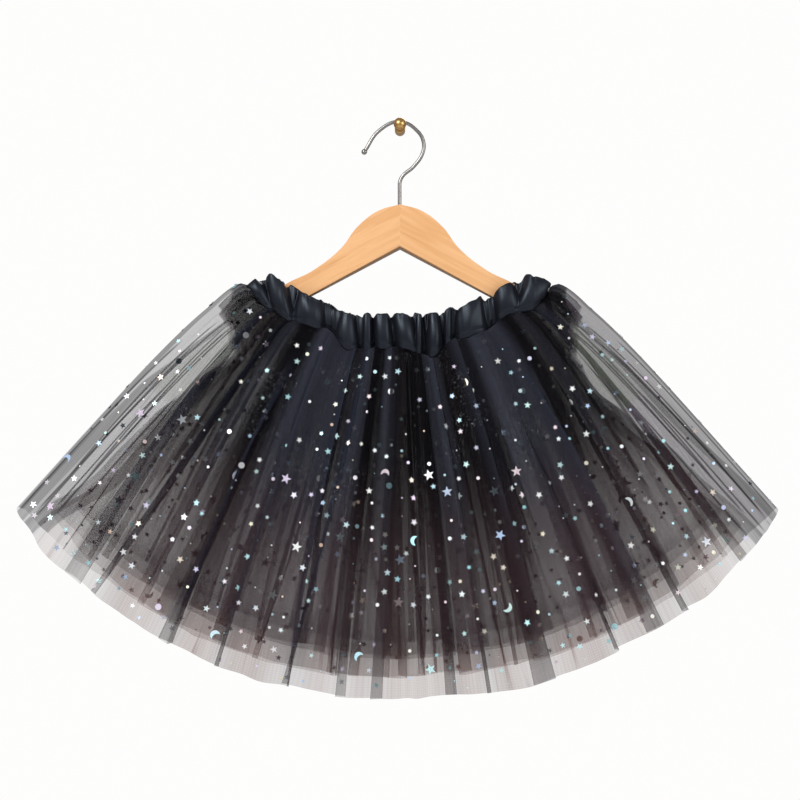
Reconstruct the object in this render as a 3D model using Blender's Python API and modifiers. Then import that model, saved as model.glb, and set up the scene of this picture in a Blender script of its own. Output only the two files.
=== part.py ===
"""A child's ballet tutu of three tulle layers, hung by a wooden hanger on a brass wall peg.

The origin is on the wall, at the centre of the peg's flat back. The wall is the plane y = 0,
the front of the tutu looks along -Y, and everything is in metres.
"""

from functools import lru_cache
from math import cos, pi, radians, sin

import bmesh
import bpy
import numpy as np
from mathutils import Matrix, Vector

GAP = 0.0003  # between pieces that are sewn or fitted together

# Brass wall peg, turned about an axis square to the wall
PEG_COLLAR_RADIUS = 0.0042
PEG_COLLAR_LENGTH = 0.0185
PEG_NECK_RADIUS = 0.0017
PEG_BALL_RADIUS = 0.0050
PEG_BALL_OUT = 0.0388  # the ball's centre from the wall
PEG_COLLAR_ROUND = 0.0008
PEG_SIDES = 20

# Steel hook, in the plane of the hanger. Its route runs up from the wood to the tip.
HANGER_OUT = 0.0265  # the hanger's middle plane from the wall
WIRE_RADIUS = 0.0015
WIRE_TIP_RADIUS = 0.0023
WIRE_IN_WOOD = 0.012
HOOK_ROUTE = (  # across, up
    (-0.0003, -0.0580),
    (-0.0003, -0.0450),
    (0.0022, -0.0397),
    (0.0106, -0.0325),
    (0.0180, -0.0215),
    (0.0188, -0.0130),
    (0.0142, -0.0042),
    (0.0000, PEG_NECK_RADIUS + GAP + WIRE_RADIUS),
    (-0.0165, -0.0035),
    (-0.0285, -0.0205),
)

# Wooden hanger: two flat arms, mitred at the middle
WOOD_THICKNESS = 0.012
WOOD_EDGE = 0.0016  # the rounding of its edges
WOOD_APEX = -0.0982  # the height of the lower edges' meeting point
WOOD_LOWER_SLOPE = 0.529
ARM_TIP = 0.103  # the arm's reach from the middle
ARM_TOP = (  # across, up, along the arm's top edge from the mitre to the tip
    (0.0000, -0.0630),
    (0.0170, -0.0680),
    (0.0335, -0.0805),
    (0.0470, -0.0980),
    (0.0680, -0.1148),
    (0.0960, -0.1305),
)

# Waistband: a satin casing round an elastic, stretched flat over the hanger's arms
BAND_HALF_WIDTH = 0.1220
BAND_HALF_DEPTH = 0.0155
BAND_SQUARENESS = 4.0
BAND_WALL = 0.0024
BAND_PUFF = 0.0010
BAND_EDGES_FRONT = (  # across, lower edge, top edge
    (-0.122, -0.1320, -0.1275),
    (-0.113, -0.1405, -0.1215),
    (-0.103, -0.1470, -0.1185),
    (-0.085, -0.1565, -0.1300),
    (-0.060, -0.1625, -0.1410),
    (-0.040, -0.1790, -0.1500),
    (0.000, -0.1775, -0.1505),
    (0.024, -0.1845, -0.1495),
    (0.045, -0.1705, -0.1450),
    (0.066, -0.1650, -0.1370),
    (0.088, -0.1500, -0.1255),
    (0.103, -0.1475, -0.1195),
    (0.113, -0.1415, -0.1225),
    (0.122, -0.1320, -0.1275),
)
BAND_EDGES_BACK = (  # across, lower edge, top edge
    (-0.122, -0.1320, -0.1275),
    (-0.113, -0.1410, -0.1225),
    (-0.100, -0.1480, -0.1205),
    (-0.070, -0.1640, -0.1375),
    (-0.030, -0.1790, -0.1525),
    (0.020, -0.1810, -0.1545),
    (0.060, -0.1680, -0.1430),
    (0.095, -0.1500, -0.1225),
    (0.113, -0.1410, -0.1230),
    (0.122, -0.1320, -0.1275),
)
BAND_GATHERS_FRONT = (  # across, half the trough's width, depth
    (-0.0970, 0.0060, 0.0016),
    (-0.0850, 0.0050, 0.0018),
    (-0.0530, 0.0050, 0.0020),
    (-0.0300, 0.0060, 0.0018),
    (-0.0190, 0.0045, 0.0014),
    (0.0110, 0.0050, 0.0020),
    (0.0280, 0.0045, 0.0016),
    (0.0390, 0.0060, 0.0022),
    (0.0710, 0.0055, 0.0018),
    (0.0870, 0.0060, 0.0020),
)
BAND_GATHERS_BACK = (  # across, half the trough's width, depth
    (-0.0900, 0.0060, 0.0016),
    (-0.0700, 0.0050, 0.0020),
    (-0.0480, 0.0055, 0.0018),
    (-0.0220, 0.0060, 0.0020),
    (0.0040, 0.0050, 0.0016),
    (0.0290, 0.0060, 0.0020),
    (0.0560, 0.0055, 0.0016),
    (0.0830, 0.0060, 0.0018),
)

# Skirt: each layer fans out from the band's lower edge. A share of 0 is the middle of a
# panel and 1 is its right side seam; a drop of 0 is the waist seam and 1 the outer hem.
FAN_ANGLE = radians(45.8)  # of the side seam, from upright
SIDE_LENGTH = 0.246
WAIST_MIDDLE = -0.1790  # the waist seam's general line, which the hem follows
WAIST_END = -0.1325
FRONT_LENGTH = 0.267
BACK_LENGTH = 0.262
SIDE_BULGE = 0.0145
SIDE_FORWARD = 0.022  # the side seam's hem, in front of the hanger's plane
FRONT_DEPTH = 0.044  # of the front hem, in front of the side seams
BACK_DEPTH = 0.032  # of the back hem, behind the side seams
DEPTH_RISE = 0.65
HEM_SQUARENESS = 2.6
TULLE_WALL = 0.0010
LAYER_STEP_WAIST = 0.0018  # from one layer's outer face to the next one's
LAYER_STEP_HEM = 0.0080
LAYER_START_STEP = 0.0006  # each layer starts this much lower, clear of the band's uneven edge
LAYERS = (  # name, place counted from the outside, drop at the hem, share of the fan, of the folds
    ("outer", 0, 1.00, 1.00, 1.00),
    ("middle", 1, 0.94, 0.94, 0.70),
    ("inner", 2, 0.88, 0.90, 0.40),
)
FOLDS_FRONT = (  # share, half the width as a share, height at the hem
    (-0.95, 0.07, 0.0050),
    (-0.83, 0.07, 0.0075),
    (-0.69, 0.06, 0.0035),
    (-0.56, 0.09, 0.0080),
    (-0.40, 0.06, 0.0050),
    (-0.29, 0.07, 0.0085),
    (-0.13, 0.06, 0.0035),
    (0.01, 0.09, 0.0080),
    (0.17, 0.06, 0.0040),
    (0.28, 0.07, 0.0070),
    (0.44, 0.09, 0.0050),
    (0.59, 0.07, 0.0085),
    (0.71, 0.06, 0.0040),
    (0.86, 0.08, 0.0070),
)
FOLDS_BACK = (  # share, half the width as a share, height at the hem
    (-0.90, 0.08, 0.0035),
    (-0.73, 0.09, 0.0055),
    (-0.56, 0.07, 0.0030),
    (-0.41, 0.09, 0.0055),
    (-0.22, 0.07, 0.0040),
    (-0.07, 0.08, 0.0050),
    (0.11, 0.07, 0.0030),
    (0.26, 0.09, 0.0055),
    (0.45, 0.08, 0.0040),
    (0.61, 0.07, 0.0055),
    (0.76, 0.08, 0.0035),
    (0.91, 0.07, 0.0045),
)
FOLD_AT_WAIST = 0.12  # of a fold's height at the hem
EVEN_FROM = 0.6  # the drop from which the band's uneven edge no longer shows

PANEL_COLUMNS = 48
TULLE_ROWS = (0.0, 0.05, 0.15, 0.32, 0.55, 0.80, 1.0)  # the last follows the layer's hem
BAND_ROWS = 3
SIDES = {  # towards the wall or away from it, then the tables for each half
    "front": (-1, BAND_EDGES_FRONT, BAND_GATHERS_FRONT, FOLDS_FRONT, FRONT_LENGTH, FRONT_DEPTH),
    "back": (1, BAND_EDGES_BACK, BAND_GATHERS_BACK, FOLDS_BACK, BACK_LENGTH, BACK_DEPTH),
}

FINISHES = {  # colour, roughness, metallic
    "brass": ((0.42, 0.25, 0.09), 0.30, 1.0),
    "steel": ((0.33, 0.31, 0.30), 0.35, 1.0),
    "wood": ((0.80, 0.47, 0.22), 0.45, 0.0),
    "satin": ((0.012, 0.013, 0.020), 0.35, 0.0),
    "tulle": ((0.020, 0.017, 0.022), 0.90, 0.0),
}


def clear_scene():
    for obj in list(bpy.data.objects):
        bpy.data.objects.remove(obj, do_unlink=True)


def new_collection(name):
    collection = bpy.data.collections.new(name)
    bpy.context.scene.collection.children.link(collection)
    return collection


def finish_material(name, finish):
    colour, roughness, metallic = FINISHES[finish]
    material = bpy.data.materials.new(name)
    material.use_nodes = True
    surface = material.node_tree.nodes["Principled BSDF"]
    surface.inputs["Base Color"].default_value = (*colour, 1.0)
    surface.inputs["Roughness"].default_value = roughness
    surface.inputs["Metallic"].default_value = metallic
    return material


def add_object(name, data, collection, finish):
    obj = bpy.data.objects.new(name, data)
    collection.objects.link(obj)
    data.materials.append(finish_material(name, finish))
    return obj


def mix(low, high, share):
    return low + (high - low) * share


def upright(across, up):
    """A point in the hanger's middle plane."""
    return Vector((across, -HANGER_OUT, up))


def as_mesh(curve_obj):
    """The curve object's mesh in a new object of the same name, with its caps welded."""
    bpy.context.view_layer.update()
    graph = bpy.context.evaluated_depsgraph_get()
    mesh = bpy.data.meshes.new_from_object(curve_obj.evaluated_get(graph))
    bm = bmesh.new()
    bm.from_mesh(mesh)
    bmesh.ops.remove_doubles(bm, verts=bm.verts, dist=0.00001)
    bmesh.ops.recalc_face_normals(bm, faces=bm.faces)
    bm.to_mesh(mesh)
    bm.free()
    name, matrix = curve_obj.name, curve_obj.matrix_world.copy()
    collection = curve_obj.users_collection[0]
    bpy.data.objects.remove(curve_obj, do_unlink=True)
    obj = bpy.data.objects.new(name, mesh)
    collection.objects.link(obj)
    obj.matrix_world = matrix
    return obj


def add_boolean(obj, cutter, operation):
    modifier = obj.modifiers.new(operation.title(), "BOOLEAN")
    modifier.object = cutter
    modifier.operation = operation
    cutter.hide_render = True
    cutter.display_type = "WIRE"


def peg_profile():
    """Radius and distance from the wall, from the ball's front round to the back's centre."""
    ball = PEG_BALL_OUT
    meets_neck = -(PEG_BALL_RADIUS**2 - PEG_NECK_RADIUS**2) ** 0.5
    last = np.arccos(meets_neck / PEG_BALL_RADIUS)
    points = [
        (PEG_BALL_RADIUS * sin(angle), ball + PEG_BALL_RADIUS * cos(angle))
        for angle in np.linspace(0.0, last, 10)
    ]
    points.append((PEG_NECK_RADIUS, PEG_COLLAR_LENGTH))
    points += [
        (
            PEG_COLLAR_RADIUS - PEG_COLLAR_ROUND * (1 - sin(angle)),
            PEG_COLLAR_LENGTH - PEG_COLLAR_ROUND * (1 - cos(angle)),
        )
        for angle in np.linspace(0.0, pi / 2, 4)
    ]
    points += [(PEG_COLLAR_RADIUS, 0.0), (0.0, 0.0)]
    return points


def add_wall_peg(collection):
    bm = bmesh.new()
    verts = [bm.verts.new((radius, 0.0, out)) for radius, out in peg_profile()]
    for first, second in zip(verts, verts[1:]):
        bm.edges.new((first, second))
    mesh = bpy.data.meshes.new("wall_peg")
    bm.to_mesh(mesh)
    bm.free()
    peg = add_object("wall_peg", mesh, collection, "brass")
    peg.rotation_euler.x = radians(90)
    turn = peg.modifiers.new("Turn", "SCREW")
    turn.steps = turn.render_steps = PEG_SIDES
    turn.use_merge_vertices = True
    turn.merge_threshold = 0.00002
    turn.use_smooth_shade = True


def add_hook_wire(collection, helpers):
    curve = bpy.data.curves.new("hook_wire", "CURVE")
    curve.dimensions = "3D"
    curve.bevel_depth = WIRE_RADIUS
    curve.bevel_resolution = 2
    curve.use_fill_caps = True
    curve.resolution_u = 6
    route = [(HOOK_ROUTE[0][0], wood_top(0.0) - WIRE_IN_WOOD), *HOOK_ROUTE]
    spline = curve.splines.new("BEZIER")
    spline.bezier_points.add(len(route) - 1)
    for point, (across, up) in zip(spline.bezier_points, route):
        point.co = upright(across, up)
        point.handle_left_type = point.handle_right_type = "AUTO"
    obj = bpy.data.objects.new("hook_wire", curve)
    collection.objects.link(obj)
    wire = as_mesh(obj)
    wire.data.shade_smooth()
    wire.data.materials.append(finish_material("hook_wire", "steel"))

    tip_mesh = bpy.data.meshes.new("hook_tip")
    bm = bmesh.new()
    place = Matrix.Translation(upright(*HOOK_ROUTE[-1]))
    bmesh.ops.create_uvsphere(
        bm, u_segments=14, v_segments=9, radius=WIRE_TIP_RADIUS, matrix=place
    )
    bm.to_mesh(tip_mesh)
    bm.free()
    tip = bpy.data.objects.new("hook_tip", tip_mesh)
    helpers.objects.link(tip)
    add_boolean(wire, tip, "UNION")


def wood_top(across):
    return float(np.interp(across, *zip(*ARM_TOP)))


def wood_lower(across):
    return WOOD_APEX - WOOD_LOWER_SLOPE * across


def arm_outline():
    """Across, up and handle type, round the right arm from the mitre's top."""
    tip_top = ARM_TOP[-1]
    tip_low = (tip_top[0] - 0.004, wood_lower(tip_top[0] - 0.004))
    tip_middle = (ARM_TIP, (tip_top[1] + tip_low[1]) / 2 - 0.002)
    first = (GAP / 2, ARM_TOP[0][1])
    top = [(first, "VECTOR")] + [(point, "AUTO") for point in ARM_TOP[1:]]
    apex = (GAP / 2, wood_lower(GAP / 2))
    return top + [(tip_middle, "AUTO"), (tip_low, "VECTOR"), (apex, "VECTOR")]


def add_hanger_arm(name, side, collection, bore):
    curve = bpy.data.curves.new(name, "CURVE")
    curve.dimensions = "2D"
    curve.fill_mode = "BOTH"
    curve.extrude = WOOD_THICKNESS / 2
    curve.resolution_u = 5
    outline = arm_outline()
    spline = curve.splines.new("BEZIER")
    spline.use_cyclic_u = True
    spline.bezier_points.add(len(outline) - 1)
    for point, ((across, up), handle) in zip(spline.bezier_points, outline):
        point.co = (side * across, up, 0.0)
        point.handle_left_type = point.handle_right_type = handle
    obj = bpy.data.objects.new(name, curve)
    collection.objects.link(obj)
    obj.location.y = -HANGER_OUT
    obj.rotation_euler.x = radians(90)
    arm = as_mesh(obj)
    arm.data.materials.append(finish_material(name, "wood"))
    rounding = arm.modifiers.new("Rounded edges", "BEVEL")
    rounding.width = WOOD_EDGE
    rounding.segments = 2
    rounding.limit_method = "ANGLE"
    rounding.angle_limit = radians(50)
    add_boolean(arm, bore, "DIFFERENCE")
    arm.data.shade_smooth()
    arm.data.set_sharp_from_angle(angle=radians(40))


def add_wire_bore(helpers):
    mesh = bpy.data.meshes.new("wire_bore")
    bm = bmesh.new()
    depth = 2 * (WIRE_IN_WOOD + GAP)
    place = Matrix.Translation(upright(HOOK_ROUTE[0][0], wood_top(0.0)))
    bmesh.ops.create_cone(
        bm,
        cap_ends=True,
        segments=20,
        radius1=WIRE_RADIUS + GAP,
        radius2=WIRE_RADIUS + GAP,
        depth=depth,
        matrix=place,
    )
    bm.to_mesh(mesh)
    bm.free()
    bore = bpy.data.objects.new("wire_bore", mesh)
    helpers.objects.link(bore)
    return bore


def table_value(table, across, column):
    """A table's column at this place, smoothed between its rows."""
    places = [row[0] for row in table]
    upper = min(max(int(np.searchsorted(places, across)), 1), len(table) - 1)
    low, high = table[upper - 1], table[upper]
    share = min(max((across - low[0]) / (high[0] - low[0]), 0.0), 1.0)
    return mix(low[column], high[column], share * share * (3 - 2 * share))


def bump(distance, half_width):
    """1 at the middle, falling smoothly to 0 at half_width."""
    share = min(abs(distance) / half_width, 1.0)
    return 0.5 + 0.5 * cos(pi * share)


@lru_cache(maxsize=None)
def section_samples(squareness, half_width, depth):
    """A quarter of a flattened oval: arc shares, and its points as shares of its two sizes."""
    angles = np.linspace(0.0, pi / 2, 600)
    across = np.sin(angles) ** (2 / squareness)
    out = np.cos(angles) ** (2 / squareness)
    steps = np.hypot(np.diff(across) * half_width, np.diff(out) * depth)
    arc = np.concatenate([[0.0], np.cumsum(steps)])
    return arc / arc[-1], across, out


def section_point(share, squareness, half_width, depth):
    """Across and out as shares, and the outward direction's two parts."""
    arc, across, out = section_samples(squareness, half_width, depth)
    place_across = float(np.interp(abs(share), arc, across))
    place_out = float(np.interp(abs(share), arc, out))
    facing = Vector(
        (
            place_across ** (squareness - 1) / half_width,
            place_out ** (squareness - 1) / depth,
        )
    ).normalized()
    return (place_across if share >= 0 else -place_across), place_out, facing


def band_point(side_name, share, rise, inward):
    side, edges, gathers, _, _, _ = SIDES[side_name]
    across, out, facing = section_point(
        share, BAND_SQUARENESS, BAND_HALF_WIDTH, BAND_HALF_DEPTH
    )
    x = BAND_HALF_WIDTH * across
    y = -HANGER_OUT + side * (GAP / 2 + BAND_HALF_DEPTH * out)
    z = mix(table_value(edges, x, 1), table_value(edges, x, 2), rise)
    trough = sum(depth * bump(x - place, half) for place, half, depth in gathers)
    move = BAND_PUFF * sin(pi * rise) - trough - inward * BAND_WALL
    outward = Vector((facing[0] * (1 if across >= 0 else -1), side * facing[1], 0.0))
    return Vector((x, y, z)) + outward * move


def tulle_point(side_name, layer, share, drop, inward):
    side, edges, _, folds, length, hem_depth = SIDES[side_name]
    _, place_inward, _, fan_share, fold_share = layer
    inset = GAP + place_inward * mix(LAYER_STEP_WAIST, LAYER_STEP_HEM, drop)
    depth = mix(BAND_HALF_DEPTH, hem_depth, drop**DEPTH_RISE) - inset
    squareness = mix(BAND_SQUARENESS, HEM_SQUARENESS, drop)
    half_width = BAND_HALF_WIDTH + SIDE_LENGTH * drop * sin(FAN_ANGLE)
    across, out, facing = section_point(share, squareness, half_width, depth)
    sign = 1 if across >= 0 else -1

    angle = FAN_ANGLE * fan_share * across
    down = Vector((sin(angle), 0.0, -cos(angle)))
    sideways = Vector((cos(angle), 0.0, sin(angle))) * sign
    waist_inset = GAP + place_inward * LAYER_STEP_WAIST
    waist_x = (BAND_HALF_WIDTH - waist_inset) * across
    waist_line = mix(WAIST_MIDDLE, WAIST_END, across**2)
    waist_z = mix(table_value(edges, waist_x, 1), waist_line, min(drop / EVEN_FROM, 1.0))
    start = Vector((waist_x, 0.0, waist_z - GAP - place_inward * LAYER_START_STEP))
    reach = mix(length, SIDE_LENGTH, abs(across) ** 3) * drop
    bulge = SIDE_BULGE * abs(across) ** 3 * sin(pi * drop**0.45)
    point = start + down * reach + sideways * (bulge - (inset - waist_inset) * abs(across))
    point.y = -HANGER_OUT - SIDE_FORWARD * drop + side * (GAP / 2 + depth * out)

    ridge = sum(height * bump(share - place, half) for place, half, height in folds)
    ridge *= fold_share * mix(FOLD_AT_WAIST, 1.0, drop)
    outward = sideways * facing[0] + Vector((0.0, side * facing[1], 0.0))
    return point + outward * (ridge - inward * TULLE_WALL)


def add_cloth(name, columns, rows, place, collection, finish):
    """A wall of cloth. It starts as a flat slab of shares across, down and through the wall."""
    bm = bmesh.new()
    bmesh.ops.create_grid(bm, x_segments=columns, y_segments=rows, size=1.0)
    made = bmesh.ops.extrude_face_region(bm, geom=bm.faces[:], use_keep_orig=True)
    inner = [item for item in made["geom"] if isinstance(item, bmesh.types.BMVert)]
    bmesh.ops.translate(bm, verts=inner, vec=(0.0, 0.0, 1.0))
    bmesh.ops.recalc_face_normals(bm, faces=bm.faces)
    for vert in bm.verts:
        vert.co = place(vert.co.x, (vert.co.y + 1) / 2, vert.co.z)
    if bm.calc_volume(signed=True) < 0:
        bmesh.ops.reverse_faces(bm, faces=bm.faces)
    mesh = bpy.data.meshes.new(name)
    bm.to_mesh(mesh)
    bm.free()
    mesh.shade_smooth()
    mesh.set_sharp_from_angle(angle=radians(60))
    add_object(name, mesh, collection, finish)


def add_waistband(side_name, collection):
    add_cloth(
        f"waistband_{side_name}",
        PANEL_COLUMNS,
        BAND_ROWS,
        lambda share, rise, inward: band_point(side_name, share, rise, inward),
        collection,
        "satin",
    )


def add_tulle(layer, side_name, collection):
    layer_name, _, hem_drop, _, _ = layer
    drops = (*TULLE_ROWS[:-1], hem_drop)

    def place(share, row_share, inward):
        drop = drops[round(row_share * (len(drops) - 1))]
        return tulle_point(side_name, layer, share, drop, inward)

    add_cloth(
        f"tulle_{layer_name}_{side_name}",
        PANEL_COLUMNS,
        len(drops) - 1,
        place,
        collection,
        "tulle",
    )


def main():
    clear_scene()
    tutu = new_collection("Ballet tutu")
    helpers = new_collection("Cutters")
    add_wall_peg(tutu)
    add_hook_wire(tutu, helpers)
    bore = add_wire_bore(helpers)
    add_hanger_arm("hanger_arm_right", 1, tutu, bore)
    add_hanger_arm("hanger_arm_left", -1, tutu, bore)
    for side_name in SIDES:
        add_waistband(side_name, tutu)
        for layer in LAYERS:
            add_tulle(layer, side_name, tutu)


main()
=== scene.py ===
from math import atan2, cos, pi, radians, sin

import bmesh
import bpy
import numpy as np
from mathutils import Matrix, Vector


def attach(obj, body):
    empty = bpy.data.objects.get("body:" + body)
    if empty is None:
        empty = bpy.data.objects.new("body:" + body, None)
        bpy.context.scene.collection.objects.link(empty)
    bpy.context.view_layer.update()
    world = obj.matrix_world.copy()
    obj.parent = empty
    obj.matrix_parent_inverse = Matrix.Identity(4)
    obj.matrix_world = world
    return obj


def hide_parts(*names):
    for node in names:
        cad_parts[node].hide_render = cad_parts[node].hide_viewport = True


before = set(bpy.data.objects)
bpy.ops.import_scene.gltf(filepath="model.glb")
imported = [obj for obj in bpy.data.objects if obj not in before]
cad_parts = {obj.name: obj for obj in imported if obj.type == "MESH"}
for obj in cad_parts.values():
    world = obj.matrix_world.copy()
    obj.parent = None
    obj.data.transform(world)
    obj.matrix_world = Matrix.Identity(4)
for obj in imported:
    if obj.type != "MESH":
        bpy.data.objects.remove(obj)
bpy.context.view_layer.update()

# A child's ballet tutu on a wooden hanger and a wall peg. Metres, the wall is y = 0.

scene = bpy.context.scene
sewnGap = 0.0003  # between pieces that are sewn or fitted together
hangerOut = 0.0265  # the hanger's middle plane from the wall


def mixed(low, high, share):
    return low + (high - low) * share


def eased(share):
    share = np.clip(share, 0.0, 1.0)
    return share * share * (3 - 2 * share)


def tableAt(table, across, column):
    # a column of a short table, smoothed between its rows
    places = np.array([row[0] for row in table])
    values = np.array([row[column] for row in table])
    upper = np.clip(np.searchsorted(places, across), 1, len(table) - 1)
    step = places[upper] - places[upper - 1]
    share = eased((across - places[upper - 1]) / step)
    return mixed(values[upper - 1], values[upper], share)


def humped(distance, halfWidth):
    # 1 at the middle, falling smoothly to 0
    return 0.5 + 0.5 * np.cos(pi * np.minimum(np.abs(distance) / halfWidth, 1.0))


# ---- materials


class Wire:
    # one output of a shader node, so that shader maths reads as plain sums

    def __init__(self, tree, socket=None):
        self.tree, self.socket = tree, socket

    def made(self, kind, settings=None, inputs=None, output=0):
        node = self.tree.nodes.new(kind)
        for name, value in (settings or {}).items():
            setattr(node, name, value)
        for name, value in (inputs or {}).items():
            if isinstance(value, Wire):
                self.tree.links.new(value.socket, node.inputs[name])
            else:
                node.inputs[name].default_value = value
        return Wire(self.tree, node.outputs[output])

    def sum(self, operation, *others):
        parts = dict(enumerate((self, *others)))
        return self.made("ShaderNodeMath", {"operation": operation}, parts)

    def __add__(self, other):
        return self.sum("ADD", other)

    def __mul__(self, other):
        return self.sum("MULTIPLY", other)

    def __sub__(self, other):
        return self.sum("SUBTRACT", other)

    def __rsub__(self, other):
        return (self * -1.0) + other

    def __rpow__(self, other):
        return self.made("ShaderNodeMath", {"operation": "POWER"}, {0: other, 1: self})

    def split(self, place):
        parts = self.made("ShaderNodeSeparateXYZ", None, {"Vector": self})
        return Wire(self.tree, parts.socket.node.outputs[place])

    __radd__, __rmul__ = __add__, __mul__

    def between(self, low, high, start=0.0, end=1.0):
        parts = {"From Min": low, "From Max": high, "To Min": start, "To Max": end}
        return self.made("ShaderNodeMapRange", None, {"Value": self, **parts})

    def tinted(self, first, second):
        # a colour from first to second as this goes from 0 to 1
        settings = {"data_type": "RGBA"}
        parts = {0: self}
        for place, colour in ((6, first), (7, second)):
            parts[place] = colour if isinstance(colour, Wire) else (*colour, 1.0)
        return self.made("ShaderNodeMix", settings, parts, output=2)

    def attribute(self, name, output):
        return self.made("ShaderNodeAttribute", {"attribute_name": name}, None, output)

    def objectPlace(self, scale=(1, 1, 1), turn=(0, 0, 0)):
        place = self.made("ShaderNodeTexCoord", None, None, "Object")
        turned = self.made("ShaderNodeMapping", None, {"Vector": place, "Rotation": turn})
        return self.made("ShaderNodeMapping", None, {"Vector": turned, "Scale": scale})

    def noise(self, place, scale, detail=2.0, roughness=0.5):
        parts = {"Vector": place, "Scale": scale, "Detail": detail, "Roughness": roughness}
        return self.made("ShaderNodeTexNoise", None, parts)

    def bumped(self, strength, distance):
        parts = {"Height": self, "Strength": strength, "Distance": distance}
        return self.made("ShaderNodeBump", None, parts)


def newFinish(name, constants):
    # a material, a wire to start its nodes from, and a way to feed its surface
    material = bpy.data.materials.new(name)
    material.use_nodes = True
    tree = material.node_tree
    surface = tree.nodes["Principled BSDF"]
    for socket, value in constants.items():
        surface.inputs[socket].default_value = value

    def feed(**links):
        for socket, wire in links.items():
            tree.links.new(wire.socket, surface.inputs[socket.replace("_", " ")])

    return material, Wire(tree), feed


def woodFinish(name, slope):
    look = {
        "light": (0.765, 0.440, 0.213),
        "dark": (0.61, 0.300, 0.112),
        "pore": (0.46, 0.20, 0.07),
        # painted shade: the colour the underside is darkened to where the surface faces down
        "under": (0.17, 0.085, 0.038),  # the shaded underside
        "turn": (0.0, slope, 0.0),
        "rings": (5.0, 40.0, 75.0),
        "ringCount": 9.0,
        "fibres": (22.0, 420.0, 420.0),
    }
    constants = {"Coat Roughness": 0.25, "IOR": 1.5, "Specular IOR Level": 0.4}
    material, start, feed = newFinish(name, constants)
    along = start.objectPlace(look["rings"], look["turn"])
    fine = start.objectPlace(look["fibres"], look["turn"])
    normal = start.made("ShaderNodeTexCoord", None, None, "Normal")
    underShadeMask = normal.split("Z").between(-0.22, -0.60, 0.0, 0.85)
    growth = start.noise(along, 1.0, 3.0, 0.55)
    fibre = start.noise(fine, 1.0, 2.0, 0.6)
    ring = (growth * look["ringCount"]).sum("PINGPONG", 1.0)
    pores = fibre.between(0.60, 0.78)
    colour = (ring * 0.55 + fibre * 0.35).tinted(look["light"], look["dark"])
    colour = (pores * 0.35).tinted(colour, look["pore"])
    # painted shade on the underside, darker where the surface faces down
    colour = underShadeMask.tinted(colour, look["under"])
    height = fibre * 0.6 + ring * 0.2
    feed(
        Base_Color=colour,
        Roughness=fibre.between(0.3, 0.7, 0.34, 0.52),
        Coat_Weight=fibre.between(0.3, 0.7, 0.45, 0.25),
        Normal=height.bumped(0.12, 0.0004),
    )
    return material


def metalFinish(name, look):
    constants = {"Specular IOR Level": 0.5, "Metallic": 1.0}
    material, start, feed = newFinish(name, constants)
    place = start.objectPlace()
    scuffs = start.noise(place, look["scuffScale"], 4.0, 0.65)
    lines = start.noise(start.objectPlace(look["brushed"]), 1.0, 2.0, 0.6)
    cloud = start.noise(place, look["scuffScale"] * 0.25, 2.0)
    colour = (cloud * 0.7 + scuffs * 0.3).tinted(look["bright"], look["dull"])
    low, high = look["roughness"]
    feed(
        Base_Color=colour,
        Roughness=(scuffs * 0.6 + lines * 0.4).between(0.3, 0.7, low, high),
        Normal=(lines * 0.7 + scuffs * 0.3).bumped(look["bump"], 0.0003),
    )
    return material


def satinFinish():
    look = {
        "weft": (0.0022, 0.0025, 0.0044),
        "warp": (0.0060, 0.0066, 0.0110),
        "slubs": (180, 2600, 1),  # across and up the cloth
        "softScale": 60.0,
    }
    constants = {
        "Sheen Weight": 0.03,
        "Sheen Roughness": 0.35,
        "Sheen Tint": (0.62, 0.66, 0.85, 1.0),
        "Specular IOR Level": 0.34,
        "Specular Tint": (0.74, 0.86, 1.0, 1.0),
        "Anisotropic": 0.35,
    }
    material, start, feed = newFinish("bandSatin", constants)
    uv = start.made("ShaderNodeUVMap", {"uv_map": "cloth"})
    rows = start.made("ShaderNodeMapping", None, {"Vector": uv, "Scale": look["slubs"]})
    slubs = start.noise(rows, 1.0, 2.0, 0.6)
    soft = start.noise(start.objectPlace(), look["softScale"], 2.0)
    uneven = slubs * 0.5 + soft * 0.5
    feed(
        Base_Color=uneven.tinted(look["weft"], look["warp"]),
        Roughness=uneven.between(0.3, 0.7, 0.34, 0.50),
        Normal=(slubs * 0.4 + soft * 0.6).bumped(0.18, 0.0004),
    )
    return material


net = {
    "cell": 0.0019,
    "creases": (190, 5, 1),  # across and down the cloth
    "fleckScale": 640.0,
    "cloud": (1.0, 1.0, 0.7),
    "cloudScale": 34.0,
}


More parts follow.
